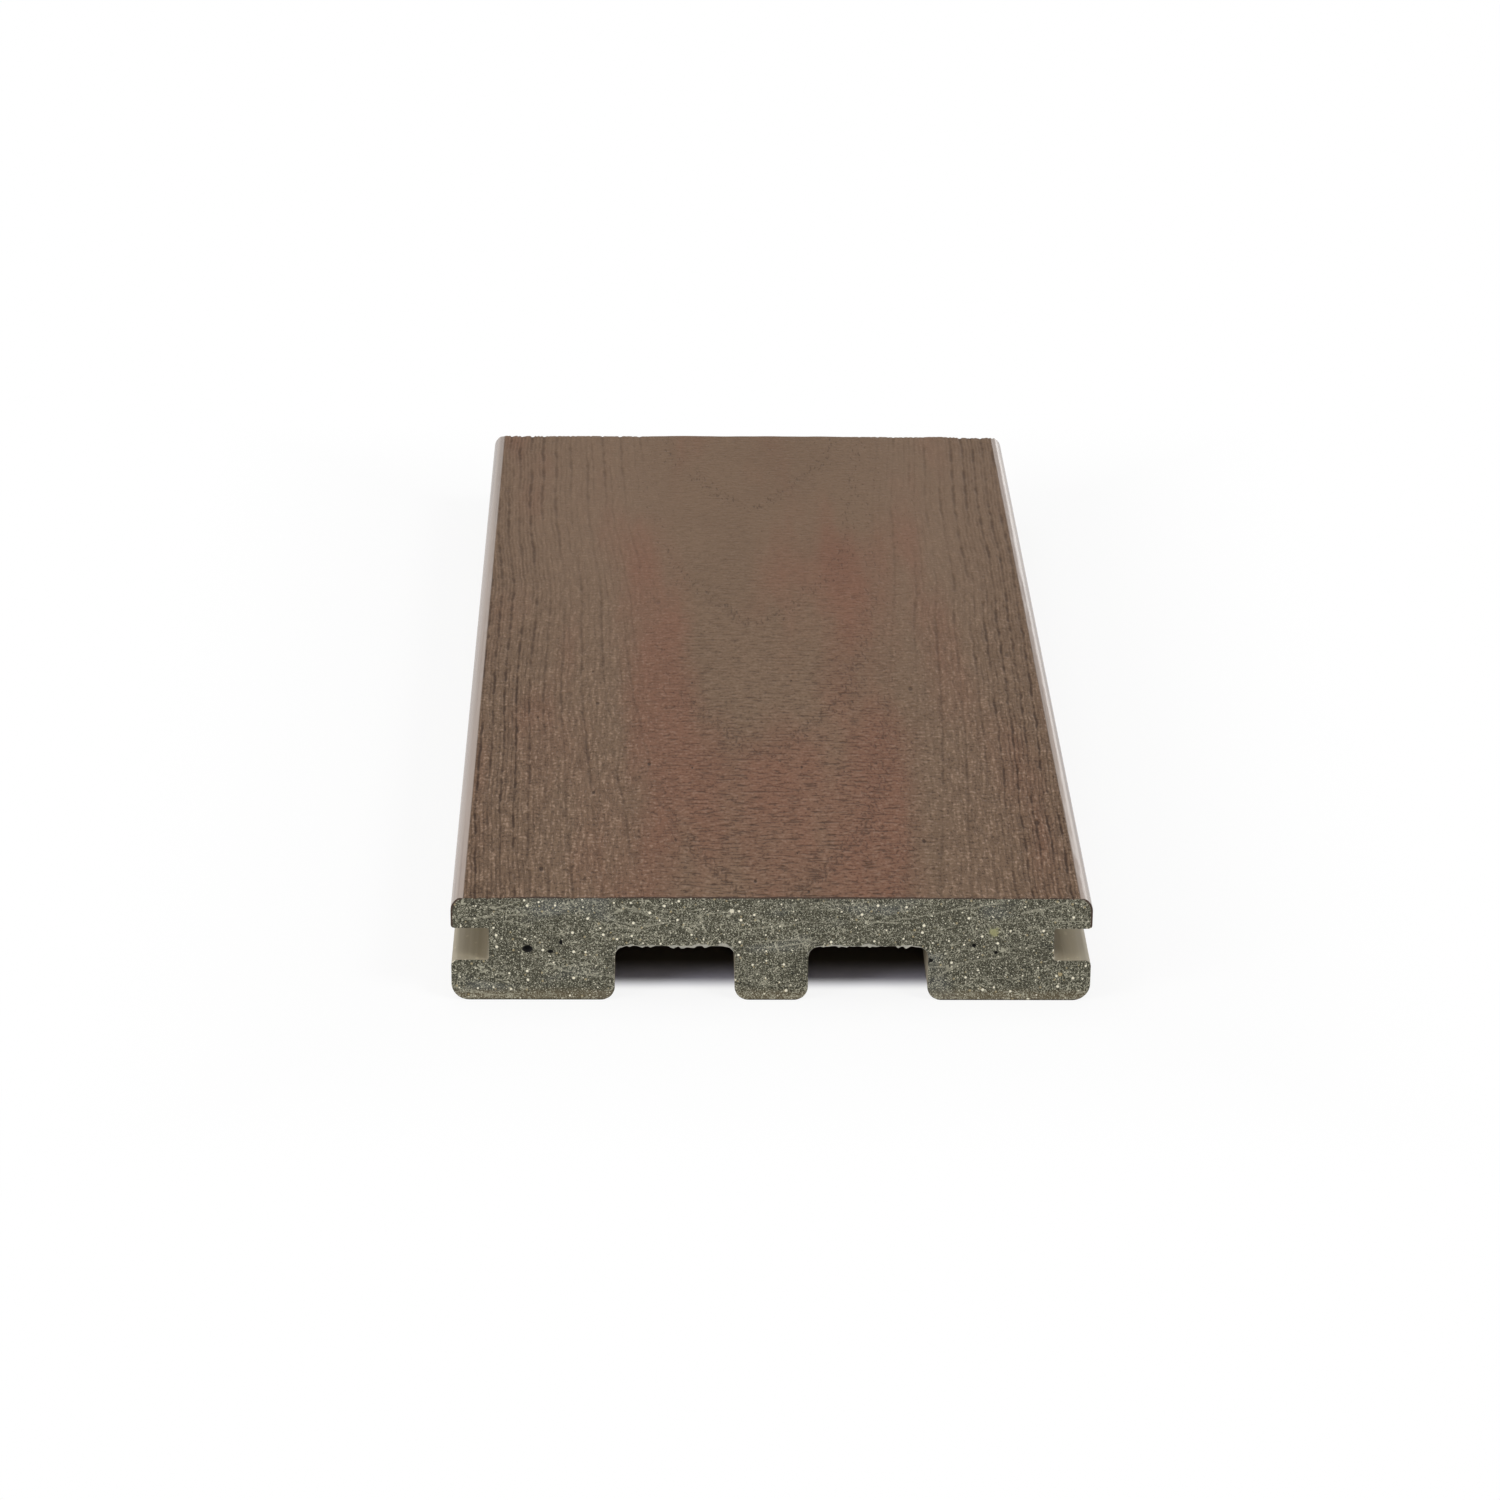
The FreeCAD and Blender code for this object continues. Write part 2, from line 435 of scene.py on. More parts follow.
def makeDeckSkin():
    skin = deckSkin
    material, bench = shaderBench(skin["name"])
    place = boardPlace(bench)
    across, along = place[:2]
    fromFar = farY - along
    near = bench.step(fromFar, skin["calmTo"], skin["wrinkledFrom"])
    lineHalf = bench.between(near, *skin["lineWidths"]) * grain["lineHalf"]
    depth, sides, gap, bent = grainLines(bench, across, along, lineHalf)
    middle = 1 - sides
    # redder in a strip on each side of the arches and across the middle of the near end
    stripEnd = skin["redStrip"] + skin["redSpread"]
    strip = 1 - bench.step(abs(abs(bent) - skin["redStrip"]), 0, skin["redSpread"])
    strip = strip * bench.step(fromFar, *skin["redFrom"])
    foot = 1 - bench.step(abs(bent), skin["redStrip"], stripEnd)
    foot = foot * bench.step(fromFar, *skin["redFoot"])
    streaks = bench.spread(bent, along, skin["streaks"])
    redness = streaks + bench.math("MAXIMUM", strip, foot) * skin["redLift"]
    colour = bench.mix(bench.step(redness, *skin["redLimits"]), skin["grey"], skin["red"])
    # painted sheen: paler sides towards the far end; slow darker clouds in the middle
    colour = bench.mix((1 - near) * sides * skin["paintedFarSheen"], colour, skin["pale"])
    clouds = bench.step(bench.spread(across, along, skin["clouds"]), *skin["cloudLimits"])
    colour = bench.mix(clouds * middle * skin["cloudDark"], colour, skin["deep"])
    # fine texture, drawn out along the sides and across the middle: paler ridges and darker hollows, partly
    # the skin's mottled tone and partly painted light on the ridges and painted shade in the hollows
    cross = bench.spread(across, along, skin["cross"])
    thread = bench.spread(bent, along, skin["thread"])
    mottle = bench.spread(across, along, skin["mottle"])
    texture = mottle * skin["mottleShare"] + cross * bench.between(middle, *skin["crossShare"])
    texture = texture + thread * sides * skin["threadShare"]
    rise = near * bench.between(sides, *skin["rise"]) + skin["calmRise"]
    ridgeToneAndLight = bench.step(texture, *skin["ridgeLimits"]) * rise
    ridgeToneAndLight = ridgeToneAndLight * bench.between(sides, *skin["ridgePale"])
    colour = bench.mix(ridgeToneAndLight, colour, skin["pale"])
    hollowToneAndShade = (1 - bench.step(texture, *skin["hollowLimits"])) * rise
    hollowToneAndShade = hollowToneAndShade * bench.between(middle, *skin["hollowDark"])
    colour = bench.mix(hollowToneAndShade, colour, skin["deep"])
    # short creases: across in the middle, lengthwise at the sides
    wrinkle = bench.spread(across, along, skin["wrinkle"])
    crossing = 1 - bench.step(wrinkle, *skin["wrinkleLimits"])
    crossing = crossing * bench.between(middle, *skin["wrinkleDark"])
    crossing = crossing * bench.between(near, *skin["wrinkleFade"])
    running = 1 - bench.step(abs(thread - skin["seamAt"]), *skin["seamLimits"])
    running = running * sides * bench.between(near, *skin["seamDark"])
    running = running * bench.step(mottle, *skin["seamBroken"])
    creases = crossing + running
    # pores crowd along the rings, and a few pits lie anywhere
    nearRing = 1 - bench.step(gap, *skin["poreBand"])
    crowd = nearRing * middle * bench.between(near, *skin["poreCrowd"])
    pores = bench.step(bench.spread(bent, along, skin["pore"]) + crowd, *skin["poreLimits"])
    pores = pores * skin["poreDark"]
    scaleAcross, scaleAlong = skin["pitScale"]
    spots, chance = bench.cells(across * scaleAcross, along * scaleAlong)
    pitHalf = chance * chance * skin["pitHalf"]
    pits = 1 - bench.step(spots, pitHalf * skin["pitCore"], pitHalf)
    pits = pits * bench.between(near, *skin["pitFade"])
    # grain grooves, pores, creases and pits take the deep colour: partly the skin's darker pigment, partly
    # painted shade in these hollows
    dark = depth * bench.between(near, *skin["lineDark"])
    for mark in (pores, creases, pits * skin["pitDark"]):
        dark = bench.math("MAXIMUM", dark, mark)
    colour = bench.mix(dark, colour, skin["deep"])
    # the shoulders and lip sides are smooth, with lines drawn by the die; their paler colour is partly the
    # plain skin and partly painted sheen
    rough = bench.step(halfWidth - abs(across), skin["smoothTo"], skin["smoothFrom"])
    lined = bench.step(drawnLines(bench, place, skin["edgeLines"]), *skin["edgeLimits"])
    edge = bench.mix(lined * skin["edgeLineShare"], skin["edge"], skin["edgeStreak"])
    colour = bench.mix(rough, edge, colour)
    textureHigh, poreDeep, creaseDeep, pitDeep = skin["heights"]
    height = texture * textureHigh - pores * poreDeep - creases * creaseDeep - pits * pitDeep
    height = height * bench.between(rough, skin["smoothHeight"], 1)
    finishSurface(bench, {
        "Base Color": colour,
        "Roughness": mottle * skin["mottleRoughness"] + skin["roughness"],
        "Specular IOR Level": skin["shine"],
        "Coat Weight": (1 - rough) * skin["edgeShine"],
        "Coat Roughness": skin["edgeRoughness"],
        "Normal": bumpFrom(bench, height, skin["relief"]),
    })
    return material


sawnCore = {
    "name": "sawnSpeckledCore",
    "base": tint(71, 69, 56),
    "dark": tint(32, 32, 27),
    "pale": tint(198, 194, 172),
    "chip": tint(158, 156, 112),
    "cream": tint(240, 233, 210),
    "tan": tint(178, 162, 124),
    "cool": tint(92, 95, 95),
    "warm": tint(124, 109, 84),
    # near-black painted shade inside the voids
    "void": tint(9, 8, 6),
    "skinEdge": tint(66, 49, 41),
    "burr": tint(182, 179, 168),
    "endShift": 3,  # sets the noise of the two ends apart
    "fields": {  # noise: scale across, scale up, seed, detail, distortion
        "swirl": (110, 240, 0, 3, 1.2),
        "fibre": (1700, 1700, 0, 2, 1.2),
        "grit": (3600, 3600, 0, 0, 0),
        "cool": (45, 110, 7, 2, 0),
        "curl": (420, 420, 0, 2, 1.5),
        "fineCurl": (800, 800, 5, 1, 1.6),
        "flow": (20, 130, 9, 2, 0.8),
        "ragged": (260, 260, 0, 2, 0),
    },
    "fibreShare": 0.6,  # of the tone, the rest is grit
    "darkTone": (0.32, 0.5),
    "paleTone": (0.56, 0.7),
    "paleShare": 0.6,
    "coolLimits": (0.54, 0.7),
    "coolShare": 0.5,
    "warmBand": (2 * mm, 4.2 * mm),  # height at which the warmer foot starts to fade and is gone
    "warmWander": 2 * mm,
    "warmShare": 0.4,
    "threads": (0.004, 0.03, 0.38, 0.58, 0.62),  # pale lines: core, edge, limits of their patches, strength
    "shreds": (0.008, 0.038, 0.4, 0.56, 0.65),
    "streaks": (0.001, 0.006, 0.36, 0.5, 0.45),
    "streakTilt": 0.1,
    "flowLines": [  # start and end, across and up in mm
        (25.0, 18.3, 48.5, 22.6),
        (53.0, 20.2, 62.5, 22.9),
        (-66.0, 18.6, -52.0, 20.0),
        (-32.0, 21.9, -22.0, 18.6),
        (-40.0, 6.2, -33.0, 5.5),
        (-6.0, 16.4, 7.5, 18.2),
    ],
    "flowHalf": 0.34 * mm,
    "flowWander": 2.2 * mm,
    "flowBroken": (0.3, 0.52),
    "flowShare": 0.42,
    "specks": [  # cells per metre, largest radius in cells, colour, strength
        (1300, 0.22, "pale", 0.8),
        (700, 0.15, "cream", 0.65),
        (330, 0.11, "tan", 0.7),
        (310, 0.13, "cream", 1.0),
    ],
    "speckCore": 0.55,
    "chips": [  # across and up in mm, radius, colour
        (47.3, 15.7, 1.45, "chip"),
        (-8.5, 20.6, 0.55, "cream"),
        (61.5, 6.1, 0.6, "tan"),
    ],
    "chipCore": 0.7,
    "chipRagged": 1.8,
    "chipShare": 0.8,
    "skinCut": (-0.504 * mm, -0.336 * mm),  # from the rim in: where the skin's edge starts and is full
    "skinFade": 0.5 * mm,  # above the groove
    "skinShare": 0.9,
    # painted contact shadow along the soles: height at which it starts to fade and is gone
    "paintedContactShadow": (0.1 * mm, 0.35 * mm),
    "contactShadowShare": 0.7,
    "raggedLimits": (0.45, 0.7),
    "burrWidth": 0.9 * mm,
    "burrCore": 0.4,
    "burrBlur": 0.05 * mm,
    "burrShare": 0.75,
    "voidShadeFrom": (0.08 * mm, 0.25 * mm),  # depth at which the painted shade inside a void starts and is full
    "roughness": 0.72,
    "shine": 0.25,
    "relief": 0.12 * mm,
}


# Distance outside a rounded box in the section, less than 0 inside it
def roundedBox(bench, x, z, middleX, lowZ, highZ, halfX, radius):
    overX = abs(x - middleX) - (halfX - radius)
    overZ = abs(z - (lowZ + highZ) / 2) - ((highZ - lowZ) / 2 - radius)
    corner = bench.hypot(bench.above(overX), bench.above(overZ))
    inside = bench.math("MINIMUM", bench.math("MAXIMUM", overX, overZ), 0)
    return corner + inside - radius


def makeSawnCore():
    core = sawnCore
    material, bench = shaderBench(core["name"])
    across, along, up = boardPlace(bench)
    facing = bench.math("SIGN", along)
    end = facing * core["endShift"]
    mirrored = across * facing * -1  # chips and flow lines lie alike as each end is faced

    def field(name, height):
        scaleAcross, scaleUp, seed, detail, distortion = core["fields"][name]
        return bench.noise(across * scaleAcross, end + seed, height * scaleUp, detail, distortion)

    # swirled fibres in the compound
    swirl = field("swirl", up)
    fibre = field("fibre", up)
    grit = field("grit", up)
    tone = fibre * core["fibreShare"] + grit * (1 - core["fibreShare"])
    colour = bench.mix(bench.step(tone, *core["darkTone"]), core["dark"], core["base"])
    cool = bench.step(field("cool", up), *core["coolLimits"])
    colour = bench.mix(cool * core["coolShare"], colour, core["cool"])
    warm = 1 - bench.step(up + swirl * core["warmWander"], *core["warmBand"])
    colour = bench.mix(warm * core["warmShare"], colour, core["warm"])
    slanted = up - abs(across) * core["streakTilt"]
    fine = {
        "threads": (field("curl", up), swirl),
        "shreds": (field("fineCurl", up), grit),
        "streaks": (field("flow", slanted), fibre),
    }
    pale = bench.step(tone, *core["paleTone"]) * core["paleShare"]
    for name, (line, patches) in fine.items():
        lineCore, lineEdge, patchFrom, patchTo, share = core[name]
        mark = 1 - bench.step(abs(line - 0.5), lineCore, lineEdge)
        mark = mark * bench.step(patches, patchFrom, patchTo) * share
        pale = bench.math("MAXIMUM", pale, mark)
    # a few longer lines of flow
    wander = (swirl - 0.5) * core["flowWander"]
    broken = bench.step(fibre, *core["flowBroken"])
    for line in core["flowLines"]:
        startX, startZ, endX, endZ = (value * mm for value in line)
        runX, runZ = endX - startX, endZ - startZ
        offX = mirrored - startX
        offZ = up + wander - startZ
        share = (offX * runX + offZ * runZ) / (runX ** 2 + runZ ** 2)
        share = bench.math("MINIMUM", bench.above(share), 1)
        away = bench.hypot(offX - share * runX, offZ - share * runZ)
        mark = (1 - bench.step(away, 0, core["flowHalf"])) * broken * core["flowShare"]
        pale = bench.math("MAXIMUM", pale, mark)
    colour = bench.mix(pale, colour, core["pale"])
    # wood flour specks, a fine scatter and a few larger chips
    for scale, size, hue, share in core["specks"]:
        spots, chance = bench.cells(across * scale + end, up * scale)
        reach = chance * size
        speck = 1 - bench.step(spots, reach * core["speckCore"], reach)
        colour = bench.mix(speck * share, colour, core[hue])
    for x, z, radius, hue in core["chips"]:
        away = bench.hypot(mirrored - x * mm, up - z * mm) / (radius * mm)
        away = away + (swirl + fibre - 1) * core["chipRagged"]
        chip = 1 - bench.step(away, core["chipCore"], 1)
        colour = bench.mix(chip * core["chipShare"], colour, core[hue])
    # the skin's cut edge round the top, a painted contact shadow along the soles and a burr round the
    # channels
    rim = roundedBox(bench, across, up, 0, -thickness, thickness, halfWidth, shoulder)
    cut = bench.step(rim, *core["skinCut"]) * bench.step(up, grooveRoof, grooveRoof + core["skinFade"])
    colour = bench.mix(cut * core["skinShare"], colour, core["skinEdge"])
    paintedContactShadow = 1 - bench.step(up, *core["paintedContactShadow"])
    colour = bench.mix(paintedContactShadow * core["contactShadowShare"], colour, core["dark"])
    middle = (ribWall + footWall) / 2
    halfChannel = (footWall - ribWall) / 2
    hole = roundedBox(bench, abs(across), up, middle, -channelRoof, channelRoof, halfChannel, roofRadius)
    ragged = bench.step(field("ragged", up), *core["raggedLimits"]) * core["burrWidth"]
    burr = 1 - bench.step(hole, ragged * core["burrCore"], ragged + core["burrBlur"])
    burr = burr * bench.step(up, channelRoof - roofRadius, channelRoof)
    colour = bench.mix(burr * core["burrShare"], colour, core["burr"])
    # painted shade inside the voids: near-black below the sawn face
    into = halfLength - abs(along)
    colour = bench.mix(bench.step(into, *core["voidShadeFrom"]), colour, core["void"])
    finishSurface(bench, {
        "Base Color": colour,
        "Roughness": core["roughness"],
        "Specular IOR Level": core["shine"],
        "Normal": bumpFrom(bench, tone, core["relief"]),
    })
    return material


extrudedCore = {
    "name": "extrudedGreyCore",
    "base": tint(162, 152, 130),
    "dark": tint(151, 141, 121),
    "pale": tint(175, 166, 145),
    "speck": tint(206, 194, 164),
    "dieLines": (1100, 9, 2),  # scale round the section, scale along, detail
    "lineLimits": (0.45, 0.75),
    "lineShare": 0.5,
    "clouds": (130, 5, 3),
    "cloudLimits": (0.3, 0.7),
    "speckScale": (380, 500, 260),  # across, up and along
    "speckSize": (0.1, 0.2),  # core and edge, in cells
    "speckShare": 0.3,
    "roughness": 0.42,
    "lineRoughness": 0.16,
    "relief": 0.06 * mm,
}


def makeExtrudedCore():
    core = extrudedCore
    material, bench = shaderBench(core["name"])
    place = boardPlace(bench)
    across, along, up = place
    # lines drawn by the die, and long clouds of flour under the smooth surface
    dieLines = drawnLines(bench, place, core["dieLines"])
    clouds = bench.step(drawnLines(bench, place, core["clouds"]), *core["cloudLimits"])
    colour = bench.mix(clouds, core["dark"], core["base"])
    lined = bench.step(dieLines, *core["lineLimits"])
    colour = bench.mix(lined * core["lineShare"], colour, core["pale"])
    scaleAcross, scaleUp, scaleAlong = core["speckScale"]
    spots, chance = bench.cells(across * scaleAcross + up * scaleUp, along * scaleAlong)
    speckCore, speckEdge = core["speckSize"]
    speck = 1 - bench.step(spots, chance * speckCore, chance * speckEdge)
    colour = bench.mix(speck * core["speckShare"], colour, core["speck"])
    finishSurface(bench, {
        "Base Color": colour,
        "Roughness": dieLines * core["lineRoughness"] + core["roughness"],
        "Normal": bumpFrom(bench, dieLines, core["relief"]),
    })
    return material


finishes = [makeExtrudedCore(), makeDeckSkin(), makeSawnCore()]  # of the sides, the deck and the ends
print("finishes made:", ", ".join(m.name for m in finishes))

# The board itself: the outline swept along the length, closed by two sawn ends, embossed and pitted
board = {
    "name": "deckingBoard",
    "seed": 7,
    "rows": 170,
    "skinFrom": 0.3 * mm,  # above the groove's roof
    "weld": 2e-6,
    "sharpAngle": 58,
    "embossDepth": 0.5 * mm,
    "embossFade": (0.4 * mm, 0.05 * mm),  # below the deck face: where the emboss starts and is full
    "swell": (90, 13, 11),  # the deck's slow waves: scale across, scale along, seed
    "swellLimits": (0.3, 0.7),
    "swellDepth": 0.55,  # in shares of the emboss depth
    "swellShare": (0.4, 1),  # in the middle, at the sides
    "endStep": 1.0 * mm,  # between points of the sawn ends
    "endScatter": 0.2,  # share of that step by which they stray
    "endMargin": 0.45,  # share of it kept clear of the outline
    "endBand": 0.1 * mm,  # points this near an end belong to its sawn face
    "burr": 0.8 * mm,  # most that the saw's burr hangs into a channel
    "burrLobes": [  # scale across, seed, limits, share
        (330, 0, 0.44, 0.8, 0.35),
        (850, 3, 0.5, 0.7, 0.65),
    ],
    "burrAlong": 4,  # scale along, which sets the two ends apart
    "burrDetail": 2,
    "burrFade": 2 * mm,  # from a channel's walls
    "burrBand": (0.1 * mm, 0.4 * mm),  # from a channel's roof
    "voids": [  # across and up in mm, half width, half height, depth
        (-51.8, 11.8, 1.05, 0.85, 1.3),
        (-46.9, 11.2, 0.7, 0.4, 0.7),
        (-44.7, 13.3, 0.4, 0.75, 0.6),
        (43.0, 12.7, 0.55, 0.5, 0.6),
        (47.7, 11.1, 0.5, 0.45, 0.6),
        (33.9, 9.2, 0.6, 0.5, 0.5),
    ],
    "voidRings": [(0, 1), (0.45, 8), (0.85, 12), (1.2, 14)],  # rings of points: reach in half widths, count
    "voidClear": 1.7,  # half widths round a void that have no other points
    "voidSlope": (0.35, 1.1),  # half widths at its bottom and brim
    "bake": {"margin": 0.006, "deckWidth": 0.46, "endHeight": 0.092},
}


def insideOutline(spot):
    inside = False
    for a, b in zip(outline, outline[1:] + outline[:1]):
        if (a.y > spot.y) != (b.y > spot.y):
            if spot.x < a.x + (spot.y - a.y) / (b.y - a.y) * (b.x - a.x):
                inside = not inside
    return inside


def clearance(spot):
    nearest = 1.0
    for a, b in zip(outline, outline[1:] + outline[:1]):
        share = intersect_point_line(spot, a, b)[1]
        foot = a.lerp(b, min(max(share, 0), 1))
        nearest = min(nearest, (spot - foot).length)
    return nearest


def endPoints():
    draw = random.Random(board["seed"])
    step = board["endStep"]
    stray = board["endScatter"]
    clear = board["voidClear"]
    spots = []
    voids = [[value * mm for value in row[:4]] for row in board["voids"]]
    for x, z, wide, high in voids:
        for reach, count in board["voidRings"]:
            for i in range(count):
                turn = i * 2 * math.pi / count + reach
                spots.append(Vector((x + math.cos(turn) * wide * reach, z + math.sin(turn) * high * reach)))
    rowHeight = step * math.sqrt(3) / 2
    for row in range(int(thickness / rowHeight) + 1):
        for column in range(int(2 * halfWidth / step) + 1):
            x = -halfWidth + (column + 0.5 * (row % 2)) * step + draw.uniform(-stray, stray) * step
            z = row * rowHeight + draw.uniform(-stray, stray) * step
            if all(math.hypot((x - v[0]) / v[2], (z - v[1]) / v[3]) > clear for v in voids):
                spots.append(Vector((x, z)))
    least = step * board["endMargin"]
    return [s for s in spots if insideOutline(s) and clearance(s) > least]


def outlineReaches():  # how far round the outline each point is, and the whole way round
    reaches = [0]
    for a, b in zip(outline, outline[1:] + outline[:1]):
        reaches.append(reaches[-1] + (b - a).length)
    return reaches[:-1], reaches[-1]


def makeSawnFace():
    spots = outline + endPoints()
    rim = [list(range(len(outline)))]
    flat = delaunay_2d_cdt(spots, [], rim, 1, section["weld"])
    corners, triangles, origins = flat[0], flat[2], flat[3]
    place = {}
    for index, origin in enumerate(origins):
        for old in origin:
            place[index] = old
    mesh = bpy.data.meshes.new("sawnFace")
    points = [(s.x, frontY, s.y) for s in spots]
    mesh.from_pydata(points, [], [[place[i] for i in t] for t in triangles])
    reach = mesh.attributes.new("reach", "FLOAT", "POINT")
    for i, value in enumerate(outlineReaches()[0]):
        reach.data[i].value = value
    print("sawn end:", len(corners), "points,", len(triangles), "triangles")
    return mesh


def makeBoardTree():
    tree = bpy.data.node_groups.new("boardSweep", "GeometryNodeTree")
    kinds = {
        "Sawn Face": "NodeSocketGeometry",
        "Outline Points": "NodeSocketInt",
        "Rows": "NodeSocketInt",
        "Length": "NodeSocketFloat",
        "Emboss Depth": "NodeSocketFloat",
        "Burr": "NodeSocketFloat",
        "Seed": "NodeSocketFloat",
    }
    keys = {}
    for name, kind in kinds.items():
        item = tree.interface.new_socket(name=name, in_out="INPUT", socket_type=kind)
        keys[name] = item.identifier
    tree.interface.new_socket(name="Board", in_out="OUTPUT", socket_type="NodeSocketGeometry")
    bench = Bench(tree)
    given = bench.add("NodeGroupInput")
    face = given.beside("Sawn Face")
    points = given.beside("Outline Points")
    rows = given.beside("Rows")
    lengthwise = given.beside("Length")
    seed = given.beside("Seed")
    spot = bench.add("GeometryNodeInputPosition")
    across, along, up = bench.split(spot)

    def keep(geometry, name, kind, domain, value):
        settings = {"data_type": kind, "domain": domain}
        return bench.add("GeometryNodeStoreNamedAttribute", settings, {
            "Geometry": geometry, "Name": name, "Value": value,
        })

    def kept(name, kind):
        return bench.add("GeometryNodeInputNamedAttribute", {"data_type": kind}, {"Name": name})

    def fromOutline(value, kind, index):
        return bench.add("GeometryNodeSampleIndex", {"data_type": kind, "domain": "POINT"}, {
            "Geometry": face, "Value": value, "Index": index,
        })

    def moved(geometry, sockets):
        return bench.add("GeometryNodeSetPosition", {}, {"Geometry": geometry, **sockets})

    # a flat grid, a column for each point of the outline and one more to close it
    grid = bench.add("GeometryNodeMeshGrid", {}, {
        "Size X": points, "Size Y": rows - 1, "Vertices X": points + 1, "Vertices Y": rows,
    })
    column = bench.math("ROUND", across + points / 2)
    row = bench.math("ROUND", along + (rows - 1) / 2)
    share = row / (rows - 1)
    index = bench.math("MODULO", column, points)
    last = bench.math("GREATER_THAN", column, points - 0.5)
    reaches, total = outlineReaches()
    skinReaches = [r for r, s in zip(reaches, outline) if s.y > grooveRoof + board["skinFrom"]]
    skinStart, skinEnd = skinReaches[0], skinReaches[-1]
    reach = fromOutline(kept("reach", "FLOAT"), "FLOAT", index) + last * total
    onFaces = {"data_type": "FLOAT", "domain": "FACE"}
    faceReach = bench.add("GeometryNodeFieldOnDomain", onFaces, {"Value": reach})
    isLeft = bench.math("GREATER_THAN", faceReach, skinEnd)
    isSkin = bench.math("GREATER_THAN", faceReach, skinStart) * bench.math("LESS_THAN", faceReach, skinEnd)

    # where each part lies on the bake: the deck on the left, the ends over the two halves of the rest
    margin = board["bake"]["margin"]
    deckWidth = board["bake"]["deckWidth"]
    endHeight = board["bake"]["endHeight"]
    restFrom = deckWidth + 2 * margin
    restWidth = (1 - restFrom - 2 * margin) / 2
    restTop = 1 - 2 * endHeight - 3 * margin
    skinU = margin + (reach - skinStart) * (deckWidth / (skinEnd - skinStart))
    skinV = margin + share * (1 - 2 * margin)
    restU = restFrom + (reach - isLeft * skinEnd) * (restWidth / skinStart) + isLeft * (restWidth + margin)
    restV = margin + share * (restTop - 2 * margin)
    sweptMap = bench.vector(restU + (skinU - restU) * isSkin, restV + (skinV - restV) * isSkin, 0)
    swept = keep(grid, "OFBake", "FLOAT2", "CORNER", sweptMap)
    swept = keep(swept, "finish", "INT", "FACE", isSkin)
    ring = bench.split(fromOutline(spot, "FLOAT_VECTOR", index))
    swept = moved(swept, {"Position": bench.vector(ring[0], frontY + share * lengthwise, ring[2])})

    # the far end is the near one's mirror image
    endU = restFrom + (across + halfWidth) * ((1 - restFrom - margin) / (2 * halfWidth))
    nearV = up * (endHeight / thickness) + restTop + margin
    near = keep(face, "OFBake", "FLOAT2", "CORNER", bench.vector(endU, nearV, 0))
    near = keep(near, "finish", "INT", "FACE", 2)  # the sawn core's place in the list of finishes
    far = moved(near, {"Position": bench.vector(across * -1, along + lengthwise, up)})
    far = keep(far, "OFBake", "FLOAT2", "CORNER", bench.vector(endU, nearV + margin + endHeight, 0))
    whole = bench.add("GeometryNodeJoinGeometry", {}, {"Geometry": [swept, near, far]})
    whole = bench.add("GeometryNodeMergeByDistance", {}, {"Geometry": whole, "Distance": board["weld"]})

    # emboss the deck face, fading out over the shoulders
    depth, sides = grainLines(bench, across, along, grain["grooveHalf"])[:2]
    scaleAcross, scaleAlong, shift = board["swell"]
    swell = bench.noise(across * scaleAcross, along * scaleAlong, seed + shift)
    swell = bench.step(swell, *board["swellLimits"]) * board["swellDepth"]
    swell = swell * bench.between(sides, *board["swellShare"])
    fadeStart, fadeEnd = board["embossFade"]
    onDeck = bench.step(up, thickness - fadeStart, thickness - fadeEnd)
    sunk = (depth + swell) * onDeck * given.beside("Emboss Depth")
    whole = moved(whole, {"Offset": bench.vector(0, 0, sunk * -1)})

    # ragged channel edges and voids in the sawn ends
    atEnd = bench.math("LESS_THAN", halfLength - abs(along), board["endBand"])
    inward = bench.math("SIGN", along) * -1
    hang = 0
    for scale, shift, low, high, strength in board["burrLobes"]:
        lobes = bench.noise(across * scale, along * board["burrAlong"], seed + shift, board["burrDetail"])
        hang = bench.step(lobes, low, high) * strength + hang
    overChannel = bench.step(abs(across), ribWall, ribWall + board["burrFade"])
    overChannel = overChannel * (1 - bench.step(abs(across), footWall - board["burrFade"], footWall))
    nearRoof = 1 - bench.step(abs(up - channelRoof), *board["burrBand"])
    droop = hang * overChannel * nearRoof * given.beside("Burr")
    hollow = 0
    for x, z, wide, high, deep in board["voids"]:
        away = bench.hypot((across * inward - x * mm) / (wide * mm), (up - z * mm) / (high * mm))
        hollow = (1 - bench.step(away, *board["voidSlope"])) * (deep * mm) + hollow
    whole = moved(whole, {"Offset": bench.vector(0, inward * hollow * atEnd, droop * atEnd * -1)})

    whole = bench.add("GeometryNodeRealizeInstances", {}, {"Geometry": whole})
    for number, material in enumerate(finishes):
        chosen = 1 - bench.math("GREATER_THAN", abs(kept("finish", "INT") - number), 0.5)
        whole = bench.add("GeometryNodeSetMaterial", {}, {
            "Geometry": whole, "Selection": chosen, "Material": material,
        })
    bench.add("NodeGroupOutput", {}, {"Board": whole})
    return tree, keys


